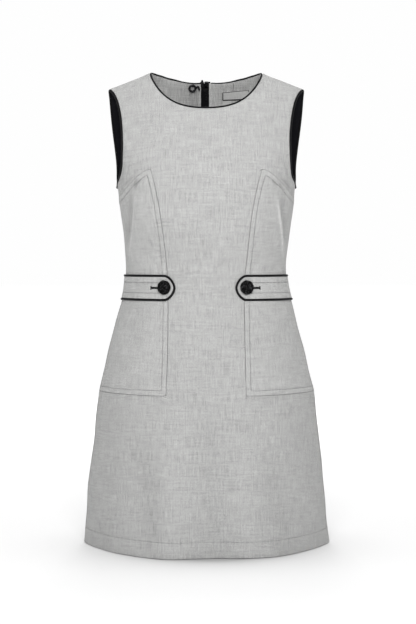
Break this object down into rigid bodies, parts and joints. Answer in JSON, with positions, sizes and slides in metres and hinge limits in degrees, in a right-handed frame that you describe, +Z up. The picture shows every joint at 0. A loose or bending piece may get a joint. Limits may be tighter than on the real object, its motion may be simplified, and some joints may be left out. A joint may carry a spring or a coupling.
{
  "type": "shift dress",
  "caption": "Hollow sleeveless shift dress in pale grey woven cloth, with black piped edges, side panels, buttoned waist tabs and a zip down the back.",
  "frame": {"origin": "between the wearer's shoulders, on the plane of the side and shoulder seams, 12 mm below the inner ends of the shoulder seams", "axes": "+Z up, the dress's front faces -Y, left nodes are at -X as seen from the front"},
  "size_m": [0.444, 0.2891, 0.8431],
  "materials": {
    "weave": "matt fine two-tone woven suiting, pale grey",
    "facing": "matt plain woven facing, grey",
    "black_cloth": "matt black woven facing",
    "piping": "black bias-cut cord piping, slight sheen",
    "button": "black, woven leather look, soft sheen",
    "zip_tape": "matt black woven tape",
    "zip_metal": "black coated metal, satin",
    "fastener": "black coated wire, satin",
    "label": "smooth woven ribbon, blank"
  },
  "bodies": {
    "root": {"front": "weave", "side_panel_left": "weave", "side_panel_right": "weave", "back_left": "weave", "back_right": "weave", "back_facing_left": "facing", "back_facing_right": "facing", "armhole_facing_front_left": "black_cloth", "armhole_facing_front_right": "black_cloth", "armhole_facing_back_left": "black_cloth", "armhole_facing_back_right": "black_cloth", "neck_piping": "piping", "armhole_piping_left": "piping", "armhole_piping_right": "piping", "tab_left": "weave", "tab_right": "weave", "tab_piping_left": "piping", "tab_piping_right": "piping", "button_left": "button", "button_right": "button", "zip_tape": "zip_tape", "zip_chain": "zip_metal", "zip_slider": "zip_metal", "label": "label", "care_label": "label", "neck_ring": "fastener", "neck_hook": "fastener"},
    "zip_pull": {"zip_pull": "zip_metal"}
  },
  "joints": [
    {"name": "zip_pull_swing", "type": "hinge", "parent": "root", "child": "zip_pull", "pos_m": [0, 0.05136, 0.00171], "axis": [1, 0, 0], "range_deg": [0, 150]}
  ]
}
